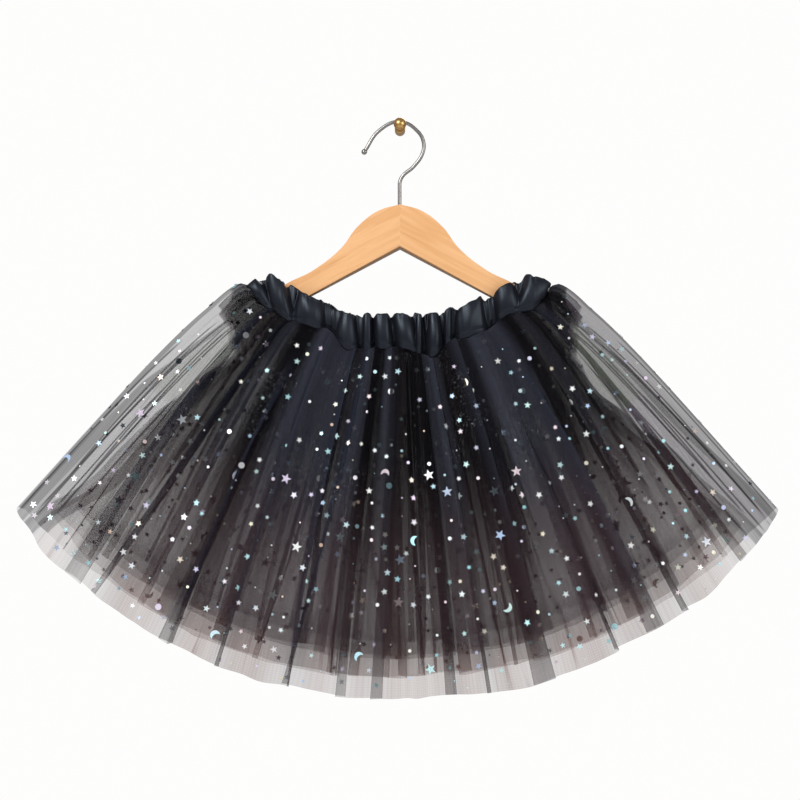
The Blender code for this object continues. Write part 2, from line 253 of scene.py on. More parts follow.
def tulleFinish(name, look):
    # near-black net: the count attribute says how many threads' worth of cover
    constants = {"Roughness": 0.75, "Specular IOR Level": 0.04, "Sheen Weight": 0.0}
    material, start, feed = newFinish(name, constants)
    uv = start.made("ShaderNodeUVMap", {"uv_map": "cloth"})
    warp, weft = ((uv.split(way) * (1 / net["cell"])).sum("PINGPONG", 0.5) for way in "XY")
    mesh = warp.sum("MINIMUM", weft).between(0.03, 0.32, 1.13, 0.94)
    # fine creases run down the net, and pale flecks, partly foil dust and partly painted glints,
    # lie on it here and there
    lines = start.made("ShaderNodeMapping", None, {"Vector": uv, "Scale": net["creases"]})
    crease = start.noise(lines, 1.0, 2.0, 0.62)
    creased = crease.between(0.3, 0.7, 0.88, 1.10) + crease.between(0.64, 0.72, 0.0, 0.7)
    fleck = start.noise(start.objectPlace(), net["fleckScale"], 2.0, 0.6)
    cloud = start.noise(start.objectPlace(net["cloud"]), net["cloudScale"], 3.0, 0.6)
    dustAndGlints = fleck.between(0.58, 0.72, 0.0, 0.55) * cloud.between(0.54, 0.68)
    # the veil beside the gathered body, with its sharp edges and folds
    body, edge, seam, away, drop, cover, count = (
        start.attribute(word, "Fac")
        for word in ("bodyOff", "edgeOff", "seamOff", "lineAway", "drop", "veilCover", "count")
    )
    inVeil = body.between(-0.003, 0.003)
    window = body.between(0.012, 0.015) * edge.between(-0.018, -0.015, 1.0, 0.0)
    window = window * drop.between(0.09, 0.12) * drop.between(0.41, 0.43, 1.0, 0.0)
    count = count * (1.0 - inVeil) + inVeil * cover
    if look["place"] == 0:
        # doubled net at the body's edge, the edge strip and the side seam
        fold = body + veil["foldIn"]
        strip = (fold * fold).between(0.00018, 0.00028, 1.2, 0.0) * drop.between(0.10, 0.16)
        strip += (edge * edge).between(0.00011, 0.00017, 0.9, 0.0) + window * veil["windowCover"]
        strip += (seam * seam).between(0.0, 0.000005, 1.2, 0.0)
        strip += edge.between(0.012, 0.015, 0.0, -0.38)
        for at, lean, strength, first, last in veil["lines"]:
            off = away + drop * lean - at
            runs = drop.between(first, first + 0.06) * drop.between(last - 0.06, last, 1.0, 0.0)
            strip += (off * off).between(0.0, veil["lineWidth"] ** 2, strength, 0.0) * runs * inVeil
        count = count + strip
    veilTint = window.tinted(veil["lilac"], veil["green"])
    if look["place"] == 0:
        veilTint = strip.between(0.3, 0.9).tinted(veilTint, veil["doubled"])
    tint = inVeil.tinted(start.attribute("thread", "Color"), veilTint)
    feed(
        Base_Color=dustAndGlints.tinted(tint, look["dustAndGlint"]),
        Alpha=1.0 - look["clear"] ** (count * mesh * creased),
    )
    return material


def foilFinish():
    constants = {"Specular IOR Level": 0.6, "Metallic": 0.35}
    material, start, feed = newFinish("foilPrint", constants)
    place = start.objectPlace()
    crackle = start.noise(place, 1500.0, 2.0, 0.6)
    tone = start.attribute("foil", "Color")
    worn = crackle.between(0.52, 0.68)
    feed(
        Base_Color=(worn * 0.4).tinted(tone, (0.05, 0.05, 0.06)),
        Roughness=crackle.between(0.3, 0.7, 0.26, 0.50),
        Normal=crackle.bumped(0.12, 0.0002),
    )
    return material


# ---- ways of making a piece


def linked(name, data):
    made = bpy.data.objects.new(name, data)
    scene.collection.objects.link(made)
    return made


def meshOf(name, bm):
    mesh = bpy.data.meshes.new(name)
    bm.to_mesh(mesh)
    bm.free()
    return mesh


def weld(bm, near=0.00001):
    bmesh.ops.remove_doubles(bm, verts=bm.verts, dist=near)
    bmesh.ops.recalc_face_normals(bm, faces=bm.faces)


def addPiece(name, bm, material, nodes, sharp=40):
    mesh = meshOf(name, bm)
    mesh.shade_smooth()
    mesh.set_sharp_from_angle(angle=radians(sharp))
    return addObject(name, mesh, material, nodes)


def addObject(name, mesh, material, nodes):
    piece = linked(name, mesh)
    mesh.materials.append(material)
    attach(piece, "root")
    if nodes:
        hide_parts(*nodes)
    return piece


def bmeshOfCurve(curve):
    # the curve's mesh with its caps welded, and the curve removed
    helper = linked("helper", curve)
    bpy.context.view_layer.update()
    graph = bpy.context.evaluated_depsgraph_get()
    mesh = bpy.data.meshes.new_from_object(helper.evaluated_get(graph))
    bm = bmesh.new()
    bm.from_mesh(mesh)
    bpy.data.objects.remove(helper, do_unlink=True)
    bpy.data.meshes.remove(mesh)
    weld(bm)
    return bm


# ---- brass wall peg

peg = {
    "collarRadius": 0.0042,
    "collarLength": 0.0185,
    "collarRound": 0.0008,
    "neckRadius": 0.0017,
    "ballRadius": 0.0050,
    "ballOut": 0.0388,  # its centre from the wall
    "sides": 64,
    "ballSteps": 26,
    "roundSteps": 7,
}


def addPeg():
    ball, radius = peg["ballOut"], peg["ballRadius"]
    last = pi - np.arcsin(peg["neckRadius"] / radius)
    profile = [
        (radius * sin(angle), ball + radius * cos(angle))
        for angle in np.linspace(0.0, last, peg["ballSteps"])
    ]
    profile.append((peg["neckRadius"], peg["collarLength"]))
    rounding, edge = peg["collarRound"], peg["collarRadius"]
    profile += [
        (edge - rounding * (1 - sin(angle)), peg["collarLength"] - rounding * (1 - cos(angle)))
        for angle in np.linspace(0.0, pi / 2, peg["roundSteps"])
    ]
    profile += [(edge, 0.0), (0.0, 0.0)]
    bm = bmesh.new()
    line = [bm.verts.new((away, -out, 0.0)) for away, out in profile]
    edges = [bm.edges.new(pair) for pair in zip(line, line[1:])]
    bmesh.ops.spin(
        bm, geom=[*line, *edges], cent=(0, 0, 0), axis=(0, 1, 0), dvec=(0, 0, 0),
        angle=2 * pi, steps=peg["sides"], use_merge=True, use_duplicate=False,
    )
    weld(bm)
    look = {
        "bright": (0.66, 0.41, 0.15),
        "dull": (0.42, 0.24, 0.085),
        "scuffScale": 700.0,
        "brushed": (120.0, 1500.0, 120.0),
        "roughness": (0.26, 0.42),
        "bump": 0.04,
    }
    addPiece("brassPeg", bm, metalFinish("pegBrass", look), ["wall_peg"])
    print("peg")


# ---- steel hook

hook = {
    "wireRadius": 0.0015,
    "tipRadius": 0.0023,
    "inWood": 0.012,
    "woodTop": -0.0630,
    "route": (
        (-0.0003, -0.0580), (-0.0003, -0.0530), (-0.0003, -0.0480), (-0.0001, -0.0445),
        (0.0022, -0.0397), (0.0106, -0.0325), (0.0180, -0.0215), (0.0188, -0.0130),
        (0.0142, -0.0042), (0.0000, 0.0035), (-0.0165, -0.0035), (-0.0285, -0.0205),
    ),
}


def addHook():
    curve = bpy.data.curves.new("hook", "CURVE")
    curve.dimensions = "3D"
    curve.bevel_depth = hook["wireRadius"]
    curve.bevel_resolution = 8
    curve.use_fill_caps = True
    curve.resolution_u = 24
    route = [(hook["route"][0][0], hook["woodTop"] - hook["inWood"]), *hook["route"]]
    spline = curve.splines.new("BEZIER")
    spline.bezier_points.add(len(route) - 1)
    for point, (across, up) in zip(spline.bezier_points, route):
        point.co = (across, -hangerOut, up)
        point.handle_left_type = point.handle_right_type = "AUTO"
    bm = bmeshOfCurve(curve)
    tip = Vector((hook["route"][-1][0], -hangerOut, hook["route"][-1][1]))
    bmesh.ops.create_uvsphere(
        bm, u_segments=32, v_segments=20, radius=hook["tipRadius"],
        matrix=Matrix.Translation(tip),
    )
    look = {
        "bright": (0.34, 0.325, 0.315),
        "dull": (0.24, 0.23, 0.22),
        "scuffScale": 260.0,
        "brushed": (400.0, 400.0, 90.0),
        "roughness": (0.34, 0.42),
        "bump": 0.004,
    }
    addPiece("steelHook", bm, metalFinish("hookSteel", look), ["hook_wire"])
    print("hook")


# ---- wooden hanger

hanger = {
    "thickness": 0.012,
    "edge": 0.0016,
    "underEdge": 0.0030,  # the wider rounding below, at the front
    "mitreGap": 0.00002,
    "nearMitre": 0.0010,
    "apex": -0.0982,
    "lowerSlope": 0.529,
    "tip": 0.103,
    "tipBack": 0.004,
    "tipSag": 0.002,
    "bevelSteps": 5,
    "sharp": radians(50),
    "top": (
        (0.0000, -0.0630), (0.0170, -0.0680), (0.0335, -0.0805), (0.0470, -0.0980),
        (0.0680, -0.1148), (0.0960, -0.1305),
    ),
}


def addArm(name, side):
    def lower(across):
        return hanger["apex"] - hanger["lowerSlope"] * across

    top = hanger["top"]
    back = top[-1][0] - hanger["tipBack"]
    tipLow = (back, lower(back))
    tipMiddle = (hanger["tip"], (top[-1][1] + tipLow[1]) / 2 - hanger["tipSag"])
    mitre = hanger["mitreGap"] / 2
    outline = [((mitre, top[0][1]), "VECTOR")] + [(point, "AUTO") for point in top[1:]]
    outline += [(tipMiddle, "AUTO"), (tipLow, "VECTOR"), ((mitre, lower(mitre)), "VECTOR")]
    curve = bpy.data.curves.new(name, "CURVE")
    curve.dimensions = "2D"
    curve.fill_mode = "BOTH"
    curve.extrude = hanger["thickness"] / 2
    curve.resolution_u = 14
    spline = curve.splines.new("BEZIER")
    spline.use_cyclic_u = True
    spline.bezier_points.add(len(outline) - 1)
    for point, ((across, up), handle) in zip(spline.bezier_points, outline):
        point.co = (side * across, up, 0.0)
        point.handle_left_type = point.handle_right_type = handle
    bm = bmeshOfCurve(curve)
    stand = Matrix.Translation((0, -hangerOut, 0)) @ Matrix.Rotation(radians(90), 4, "X")
    bmesh.ops.transform(bm, matrix=stand, verts=bm.verts)
    bmesh.ops.dissolve_limit(
        bm, angle_limit=radians(0.5), verts=bm.verts, edges=bm.edges, delimit=set()
    )

    def sharpEdges():
        return [
            e for e in bm.edges
            if len(e.link_faces) == 2 and e.calc_face_angle(0) > hanger["sharp"]
            and max(abs(v.co.x) for v in e.verts) > hanger["nearMitre"]
        ]

    def isUnderFront(edge):
        return all(
            abs(v.co.z - lower(abs(v.co.x))) < 0.0004 and v.co.y < -hangerOut
            for v in edge.verts
        )

    for under, size in ((True, hanger["underEdge"]), (False, hanger["edge"])):
        rim = [edge for edge in sharpEdges() if isUnderFront(edge) == under]
        bmesh.ops.bevel(
            bm, geom=rim, offset=size, affect="EDGES", segments=hanger["bevelSteps"],
            profile=0.5, material=-1, offset_type="OFFSET", clamp_overlap=not under,
        )
    bmesh.ops.recalc_face_normals(bm, faces=bm.faces)
    slope = atan2(hanger["lowerSlope"], 1.0) * -side
    material = woodFinish(name + "Wood", slope)
    word = "right" if side > 0 else "left"
    addPiece(name, bm, material, ["hanger_arm_" + word], sharp=35)


def addHanger():
    addArm("rightArm", 1)
    addArm("leftArm", -1)
    print("hanger")


# ---- satin waistband

band = {
    "halfWidth": 0.1220,
    "halfDepth": 0.0155,
    "squareness": 4.0,
    "wall": 0.0020,
    "puff": 0.0012,
    "columns": 1400,
    "rows": 28,
    "cut": (0.66, 0.032),
    "front": (
        (-0.122, -0.1320, -0.1275), (-0.113, -0.1405, -0.1215), (-0.103, -0.1470, -0.1185),
        (-0.085, -0.1565, -0.1300), (-0.060, -0.1625, -0.1410), (-0.040, -0.1790, -0.1500),
        (0.000, -0.1775, -0.1505), (0.024, -0.1845, -0.1495), (0.045, -0.1705, -0.1450),
        (0.066, -0.1650, -0.1370), (0.088, -0.1500, -0.1255), (0.103, -0.1475, -0.1195),
        (0.113, -0.1415, -0.1225), (0.122, -0.1320, -0.1275),
    ),
    "back": (
        (-0.122, -0.1320, -0.1275), (-0.113, -0.1410, -0.1225), (-0.100, -0.1480, -0.1205),
        (-0.070, -0.1640, -0.1375), (-0.030, -0.1790, -0.1525), (0.020, -0.1810, -0.1545),
        (0.060, -0.1680, -0.1430), (0.095, -0.1500, -0.1225), (0.113, -0.1410, -0.1230),
        (0.122, -0.1320, -0.1275),
    ),
    # puffs between the gathers: middle, half the width, height, narrowing at the top, lean
    "puffsFront": (
        (-0.1130, 0.0085, 0.0022, 0.15, -0.012), (-0.0955, 0.0105, 0.0032, 0.10, -0.005),
        (-0.0715, 0.0140, 0.0036, 0.28, 0.003), (-0.0415, 0.0100, 0.0042, 0.42, 0.001),
        (-0.0260, 0.0045, 0.0016, 0.20, 0.0), (-0.0135, 0.0076, 0.0024, 0.10, -0.002),
        (0.0040, 0.0092, 0.0028, 0.12, -0.004), (0.0150, 0.0030, 0.0014, 0.10, 0.0),
        (0.0270, 0.0072, 0.0040, 0.38, -0.001), (0.0380, 0.0035, 0.0014, 0.10, 0.0),
        (0.0555, 0.0136, 0.0034, 0.24, -0.002), (0.0845, 0.0105, 0.0032, 0.20, -0.004),
        (0.1065, 0.0135, 0.0040, 0.10, 0.010),
    ),
    "puffsBack": (
        (-0.1060, 0.0130, 0.0034, 0.12, 0.004), (-0.0820, 0.0100, 0.0030, 0.25, 0.002),
        (-0.0570, 0.0140, 0.0034, 0.25, 0.001), (-0.0330, 0.0080, 0.0036, 0.35, 0.0),
        (-0.0190, 0.0045, 0.0016, 0.15, 0.0), (-0.0040, 0.0090, 0.0030, 0.22, 0.0),
        (0.0130, 0.0066, 0.0028, 0.20, 0.0), (0.0340, 0.0125, 0.0036, 0.28, -0.001),
        (0.0600, 0.0100, 0.0030, 0.25, -0.002), (0.0830, 0.0105, 0.0034, 0.22, -0.003),
        (0.1075, 0.0125, 0.0034, 0.10, -0.004),
    ),
    "pleatDepth": 0.0036,
    "seam": (0.13, 0.035, 0.0005),  # the groove's rise, width and depth
    # uneven folds: height, how many once round, seed
    "ruffles": ((0.0042, 110, 5), (0.0018, 260, 9)),
    "slant": (0.06, 13, 6),
    "fine": ((0.0012, 230, 3), (0.0010, 96, 4)),
    "swell": (0.0016, 62, 7),
}


def quarterOval(squareness, halfWidth, depth):
    # a quarter of a flattened oval: arc shares, and its points as shares of its two sizes
    angles = np.linspace(0.0, pi / 2, 600)
    across = np.sin(angles) ** (2 / squareness)
    out = np.cos(angles) ** (2 / squareness)
    steps = np.hypot(np.diff(across) * halfWidth, np.diff(out) * depth)
    arc = np.concatenate([[0.0], np.cumsum(steps)])
    return arc / arc[-1], across, out


def ovalAt(share, squareness, halfWidth, depth):
    arc, across, out = quarterOval(squareness, halfWidth, depth)
    placeAcross = np.interp(np.abs(share), arc, across)
    placeOut = np.interp(np.abs(share), arc, out)
    facing = np.stack(
        [placeAcross ** (squareness - 1) / halfWidth, placeOut ** (squareness - 1) / depth]
    )
    facing /= np.linalg.norm(facing, axis=0)
    return np.where(share >= 0, placeAcross, -placeAcross), placeOut, facing


def roundTurn(turn):
    # a turn of -1 to 1 is the front from left to right, and 1 to 3 the back again
    turn = (turn + 1) % 4 - 1
    front = turn <= 1
    return front, np.where(front, turn, 2 - turn)


def puffRelief(x, rise, puffs):
    # how far the satin stands out, and how flat it lies there from 0 to 1
    relief, flat = np.zeros_like(x), np.zeros_like(x)
    for middle, half, height, narrow, lean in puffs:
        wide = half * (1 - narrow * rise)
        s = np.abs((x - middle - lean * (rise - 0.5)) / wide)
        dome = np.clip(1 - s**4, 0, 1) ** 0.5 * (0.86 + 0.14 * np.cos(pi * np.minimum(s, 1)))
        swell = 0.62 + 0.38 * sin(pi * min(rise * 0.8 + 0.25, 1.0))
        relief = np.maximum(relief, height * dome * swell)
        flat = np.maximum(flat, np.clip(1 - s**4, 0, 1))
    return relief, flat


def bandRow(turn, rise, creases):
    front, share = roundTurn(turn)
    side = np.where(front, -1.0, 1.0)
    size = (band["halfWidth"], band["halfDepth"])
    across, out, facing = ovalAt(share, band["squareness"], *size)
    x = size[0] * across
    y = -hangerOut + side * size[1] * out
    lower = np.where(front, tableAt(band["front"], x, 1), tableAt(band["back"], x, 1))
    upper = np.where(front, tableAt(band["front"], x, 2), tableAt(band["back"], x, 2))
    fine, ruffle, swell = creases
    reliefs, flats = zip(*(puffRelief(x, rise, band[n]) for n in ("puffsFront", "puffsBack")))
    relief, flat = np.where(front, *reliefs), np.where(front, *flats)
    pinched = 1 - flat
    seamAt, seamWide, seamDeep = band["seam"]
    seam = seamDeep * np.exp(-(((rise - seamAt) / seamWide) ** 2)) + 0.0012 * (1 - rise) ** 8
    move = band["puff"] * sin(pi * rise) + relief - band["pleatDepth"] * pinched - seam
    move -= fine * (0.15 + 1.1 * pinched + 0.5 * rise**6)
    move += swell * (0.4 + flat) * sin(pi * min(rise + 0.1, 1.0))
    z = mixed(lower, upper, rise)
    z += ruffle * (0.35 + pinched) * (rise**3 - 0.3 * (1 - rise) ** 3)
    z += 0.0016 * (pinched - 0.4) * (1 - rise) ** 4 - 0.0012 * pinched * rise**4
    outward = np.stack([facing[0] * np.sign(across), side * facing[1], np.zeros_like(x)])
    return np.stack([x, y, z]) + outward * move


def foldNoise(turn, count, seed):
    # smooth random heights, count of them once round
    rng = np.random.default_rng(seed)
    heights = rng.random(count)
    place = (turn + 1) / 4 * count
    low = np.floor(place).astype(int)
    return mixed(heights[low % count], heights[(low + 1) % count], eased(place - low))


def gridMesh(name, columns, rows):
    # a flat grid whose x is the column's share and y the row's, both 0 to 1
    bm = bmesh.new()
    bmesh.ops.create_grid(bm, x_segments=columns, y_segments=rows, size=0.5)
    bmesh.ops.translate(bm, verts=bm.verts, vec=(0.5, 0.5, 0.0))
    mesh = meshOf(name, bm)
    places = np.empty(len(mesh.vertices) * 3, np.float32)
    mesh.vertices.foreach_get("co", places)
    places = places.reshape(-1, 3)
    column = np.rint(places[:, 0] * columns).astype(int)
    row = np.rint(places[:, 1] * rows).astype(int)
    return mesh, row, column


def fillGrid(mesh, row, column, points, cloth, floats=None, colours=None):
    # moves the grid's vertices to the points and gives it the cloth's flat places
    mesh.vertices.foreach_set("co", points[row, column].astype(np.float32).ravel())
    corners = np.empty(len(mesh.loops), np.int32)
    mesh.loops.foreach_get("vertex_index", corners)
    flat = cloth[row[corners], column[corners]]
    mesh.uv_layers.new(name="cloth").data.foreach_set("uv", flat.astype(np.float32).ravel())
    for name, values in (floats or {}).items():
        data = mesh.attributes.new(name, "FLOAT", "POINT").data
        data.foreach_set("value", values[row, column].astype(np.float32))
    for name, values in (colours or {}).items():
        data = mesh.attributes.new(name, "FLOAT_COLOR", "POINT").data
        data.foreach_set("color", values[row, column].astype(np.float32).ravel())
    mesh.update()


def closeRing(mesh, wall=0.0):
    # joins the grid's two ends, makes it face out, and gives it a wall
    bm = bmesh.new()
    bm.from_mesh(mesh)
    weld(bm, 0.000002)
    out = 0.0
    for face in bm.faces:
        centre = face.calc_center_median()
        out += face.normal.dot(Vector((centre.x, centre.y + hangerOut, 0)))
    if out < 0:
        bmesh.ops.reverse_faces(bm, faces=bm.faces)
    if wall:
        bmesh.ops.solidify(bm, geom=bm.faces[:], thickness=wall)
        bmesh.ops.recalc_face_normals(bm, faces=bm.faces)
    bm.to_mesh(mesh)
    bm.free()
    mesh.shade_smooth()


def addBand():
    columns, rows = band["columns"], band["rows"]
    turn = np.linspace(-1.0, 3.0, columns + 1)
    ruffle = sum(height * (foldNoise(turn, *how) - 0.5) for height, *how in band["ruffles"])
    height, *how = band["slant"]
    slant = height * (foldNoise(turn, *how) - 0.5)
    points = []
    for rise in np.linspace(0, 1, rows + 1):
        slanted = turn + slant * (rise - 0.5)
        fine = sum(height * foldNoise(slanted, *how) for height, *how in band["fine"])
        height, *how = band["swell"]
        swell = height * (foldNoise(turn - 0.9 * slant * rise, *how) - 0.5)
        points.append(bandRow(turn, rise, (fine, ruffle, swell)).T)
    points = np.array(points)
    mesh, row, column = gridMesh("satinBand", columns, rows)
    width, height = band["cut"]
    across, up = np.linspace(0, width, columns + 1), np.linspace(0, height, rows + 1)
    cloth = np.stack(np.meshgrid(across, up), -1)
    fillGrid(mesh, row, column, points, cloth)
    closeRing(mesh, band["wall"])
    nodes = ["waistband_front", "waistband_back"]
    piece = addObject("satinBand", mesh, satinFinish(), nodes)
    print("satin band")
    return points


# ---- tulle skirt

skirt = {
    "fanAngle": radians(45.8),
    "sideLength": 0.246,
    "waistMiddle": -0.1790,
    "waistEnd": -0.1325,
    "length": (0.267, 0.262),  # front and back
    "depth": (0.044, 0.032),
    "meanDepth": 0.03,
    "sideBulge": 0.0120,
    "sideForward": 0.022,
    "depthRise": 0.65,
    "hemSquareness": 2.6,
    "stepWaist": 0.0018,
    "stepHem": 0.0080,
    "startStep": 0.0006,
    "tuck": 0.0012,  # into the band's seam
    "endTuck": 0.0036,
    "foldAtWaist": 0.12,
    "evenFrom": 0.6,
    # broad folds: share, half the width, height at the hem
    "foldsFront": (
        (-0.95, 0.07, 0.0050), (-0.83, 0.07, 0.0075), (-0.69, 0.06, 0.0035),
        (-0.56, 0.09, 0.0080), (-0.40, 0.06, 0.0050), (-0.29, 0.07, 0.0085),
        (-0.13, 0.06, 0.0035), (0.01, 0.09, 0.0080), (0.17, 0.06, 0.0040), (0.28, 0.07, 0.0070),
        (0.44, 0.09, 0.0050), (0.59, 0.07, 0.0085), (0.71, 0.06, 0.0040), (0.86, 0.08, 0.0070),
    ),
    "foldsBack": (
        (-0.90, 0.08, 0.0035), (-0.73, 0.09, 0.0055), (-0.56, 0.07, 0.0030),
        (-0.41, 0.09, 0.0055), (-0.22, 0.07, 0.0040), (-0.07, 0.08, 0.0050), (0.11, 0.07, 0.0030),
        (0.26, 0.09, 0.0055), (0.45, 0.08, 0.0040), (0.61, 0.07, 0.0055), (0.76, 0.08, 0.0035),
        (0.91, 0.07, 0.0045),
    ),
    # each pleat's least, and how much more it may have
    "pleatWide": (0.012, 0.020),
    "pleatOver": (1.7, 1.1),
    "pleatDeep": (0.0026, 0.0030),
    "pleatDrift": 0.05,
    "creases": 34,
    "creaseWidth": 0.0030,
    "leastFacing": 0.36,
    "columns": 1580,
    "rows": 60,
}

# hem, fan and fold are shares of the skirt's own; clear is what one thread's cover lets through
# the lit colour is painted light on the raised folds, the warm colour a painted warm glow of light
# seen through from behind, and the dust colour pale foil dust with painted glints
layers = {
    "outerTulle": {
        "node": "tulle_outer", "slot": "printed_tulle", "place": 0, "hem": 1.00,
        "fan": 1.00, "fold": 1.00, "cut": (1.75, 0.272), "pleats": 46, "seed": 11,
        "clear": 0.62, "dustAndGlint": (0.19, 0.19, 0.20), "thread": (0.0018, 0.0016, 0.0026),
        "paintedFoldLight": (0.023, 0.025, 0.036), "paintedWarmLight": (0.040, 0.023, 0.027),
    },
    "middleTulle": {
        "node": "tulle_middle", "slot": "plain_tulle", "place": 1, "hem": 0.94,
        "fan": 0.94, "fold": 0.70, "cut": (1.60, 0.256), "pleats": 40, "seed": 23,
        "clear": 0.79, "dustAndGlint": (0.07, 0.06, 0.06), "thread": (0.009, 0.005, 0.006),
        "paintedFoldLight": (0.036, 0.022, 0.022), "paintedWarmLight": (0.076, 0.040, 0.041),
    },
    "innerTulle": {
        "node": "tulle_inner", "slot": "plain_tulle", "place": 2, "hem": 0.88,
        "fan": 0.90, "fold": 0.40, "cut": (1.50, 0.240), "pleats": 36, "seed": 37,
        "clear": 0.79, "dustAndGlint": (0.07, 0.06, 0.06), "thread": (0.009, 0.005, 0.006),
        "paintedFoldLight": (0.040, 0.024, 0.023), "paintedWarmLight": (0.082, 0.040, 0.041),
    },
}


def skirtRow(turn, drop, layer, reachMore, outMore):
    # the points and the outward directions of one row of a layer
    front, share = roundTurn(turn)
    side = np.where(front, -1.0, 1.0)
    place = layer["place"]
    inset = sewnGap + place * mixed(skirt["stepWaist"], skirt["stepHem"], drop)
    squareness = mixed(band["squareness"], skirt["hemSquareness"], drop)
    halfWidth = band["halfWidth"] + skirt["sideLength"] * drop * sin(skirt["fanAngle"])
    halves = []
    for half in (0, 1):
        rise = drop ** skirt["depthRise"]
        depth = mixed(band["halfDepth"], skirt["depth"][half], rise) - inset
        across, out, facing = ovalAt(share, squareness, halfWidth, depth)
        table = band["front" if half == 0 else "back"]
        waistInset = sewnGap + place * skirt["stepWaist"]
        waistX = (band["halfWidth"] - waistInset) * across
        edge = tableAt(table, waistX, 1)
        folds = skirt["foldsFront" if half == 0 else "foldsBack"]
        ridge = sum(height * humped(share - at, wide) for at, wide, height in folds)
        halves.append((across, out * depth, facing[0], facing[1], waistX, edge, ridge,
                       np.full_like(share, skirt["length"][half])))
    across, out, facingX, facingY, waistX, edge, ridge, length = (
        np.where(front, first, second) for first, second in zip(*halves)
    )
    sign = np.where(across >= 0, 1.0, -1.0)
    angle = skirt["fanAngle"] * layer["fan"] * across
    waistLine = mixed(skirt["waistMiddle"], skirt["waistEnd"], across**2)
    waistZ = mixed(edge, waistLine, min(drop / skirt["evenFrom"], 1.0))
    reach = mixed(length, skirt["sideLength"], np.abs(across) ** 3) * drop + reachMore
    bulge = skirt["sideBulge"] * np.abs(across) ** 3 * sin(pi * drop**0.45)
    aside = bulge - place * (skirt["stepHem"] - skirt["stepWaist"]) * drop * np.abs(across)
    x = waistX + np.sin(angle) * reach + np.cos(angle) * sign * aside
    tuck = skirt["tuck"] + skirt["endTuck"] * eased((np.abs(across) - 0.86) / 0.14)
    z = waistZ + tuck * max(1 - drop / 0.12, 0) - place * skirt["startStep"]
    z -= np.cos(angle) * reach
    z += np.sin(angle) * sign * aside
    y = -hangerOut - skirt["sideForward"] * drop + side * out
    outward = np.stack(
        [np.cos(angle) * sign * facingX, side * facingY, np.sin(angle) * sign * facingX]
    )
    ridge = ridge * layer["fold"] * mixed(skirt["foldAtWaist"], 1.0, drop) + outMore
    return (np.stack([x, y, z]) + outward * ridge).T, outward.T


# the gathered body ends short of the side seams and leaves a thin veil there
veil = {
    # drop, then how far across the body reaches
    "bodyLeft": ((0, 1.02), (0.08, 0.98), (0.13, 0.87), (0.18, 0.81), (0.31, 0.84), (0.49, 0.87),
                 (0.69, 0.88), (1, 0.94)),
    "bodyRight": ((0, 1.02), (0.08, 0.97), (0.14, 0.88), (0.21, 0.82), (0.31, 0.80), (0.45, 0.83),
                  (0.65, 0.865), (1, 0.90)),
    # drop, then the middle of the folded edge strip
    "edgeLeft": ((0, 0.97), (0.12, 0.93), (0.30, 0.945), (0.45, 0.96), (1, 0.965)),
    "edgeRight": ((0, 0.97), (0.2, 0.94), (0.5, 0.93), (1, 0.965)),
    # thin folds in the veil: place across, lean, strength, and the drops each runs between
    "lines": (
        (0.858, 0.010, 2.6, 0.16, 0.40),
        (0.905, -0.014, 2.8, 0.40, 1.0),
        (0.912, 0.030, 2.4, 0.10, 0.62),
        (0.934, -0.012, 2.8, 0.05, 0.95),
        (0.962, 0.022, 2.4, 0.12, 0.80),
        (0.982, 0.006, 2.6, 0.25, 1.0),
    ),
    "lineWidth": 0.0030,
    "foldIn": 0.006,  # from the body's edge
    "windowCover": 0.35,
    "cover": (1.00, 1.50),  # left and right
    "lowerCover": (0.02, 0.02),
    "bodyThins": (0.60, 0.88),  # the body's cover at its edge
    "lilac": (0.030, 0.020, 0.034),
    "green": (0.040, 0.048, 0.036),
    "slate": (0.030, 0.026, 0.032),
    "doubled": (0.016, 0.014, 0.017),  # where folds lie on each other
    "hem": (0.110, 0.042, 0.030),
    # a painted bluish sheen laid on some pleats
    "navySheen": (0.012, 0.016, 0.032),
}


def sideCover(across, drop, front, layer):
    # how far each point stands from the veil's edges, its cover there, and how thin the body is
    right = across > 0
    away = np.abs(across) * layer["fan"]
    body, edge = (
        np.where(right, *(tableAt(veil[part + word], np.full_like(across, drop), 1)
                          for word in ("Right", "Left")))
        for part in ("body", "edge")
    )
    leftCover, rightCover = veil["cover"] if layer["place"] == 0 else veil["lowerCover"]
    places = {
        "bodyOff": away - body,
        "edgeOff": np.where(front, away - edge, 1.0),
        "seamOff": layer["fan"] - away,
        "lineAway": away + np.where(front, 0.0, 0.012),
        "drop": np.full_like(away, drop),
        "veilCover": np.where(right, rightCover, leftCover),
    }
    leftLeast, rightLeast = veil["bodyThins"]
    least = np.where(right, rightLeast, leftLeast)
    return places, mixed(1.0, least, eased((away / body - 0.62) / 0.36))


def pleatTable(layer):
    # where each pleat stands, how wide it is, how it leans, and where it starts and fades
    rng = np.random.default_rng(layer["seed"])
    count = layer["pleats"]
    at = -1 + 4 * (np.arange(count) + 0.75 * (rng.random(count) - 0.5)) / count
    return {
        "at": at,
        "wide": skirt["pleatWide"][0] + skirt["pleatWide"][1] * rng.random(count) ** 1.5,
        "lean": np.where(rng.random(count) < 0.5, -1.0, 1.0),
        "drift": skirt["pleatDrift"] * (rng.random(count) - 0.5),
        "over": skirt["pleatOver"][0] + skirt["pleatOver"][1] * rng.random(count),
        "deep": skirt["pleatDeep"][0] + skirt["pleatDeep"][1] * rng.random(count),
        "start": np.where(rng.random(count) < 0.7, -0.4, 0.25 * rng.random(count)),
        "end": np.where(rng.random(count) < 0.75, 1.6, 0.5 + 0.4 * rng.random(count)),
        # which pleats get a painted bluish sheen, and how strong each pleat's painted shade is
        "navySheen": rng.random(count) < 0.25,
        "paintedShade": rng.random(count),
    }


def creaseTable(layer):
    # place, drift, strength, first drop and length of each crease
    rng = np.random.default_rng(layer["seed"] + 5)
    return [
        (-1 + 4 * rng.random(), 0.16 * (rng.random() - 0.5), 0.8 + 1.2 * rng.random(),
         0.7 * rng.random() - 0.1, 0.25 + 0.5 * rng.random())
        for _ in range(skirt["creases"])
    ]


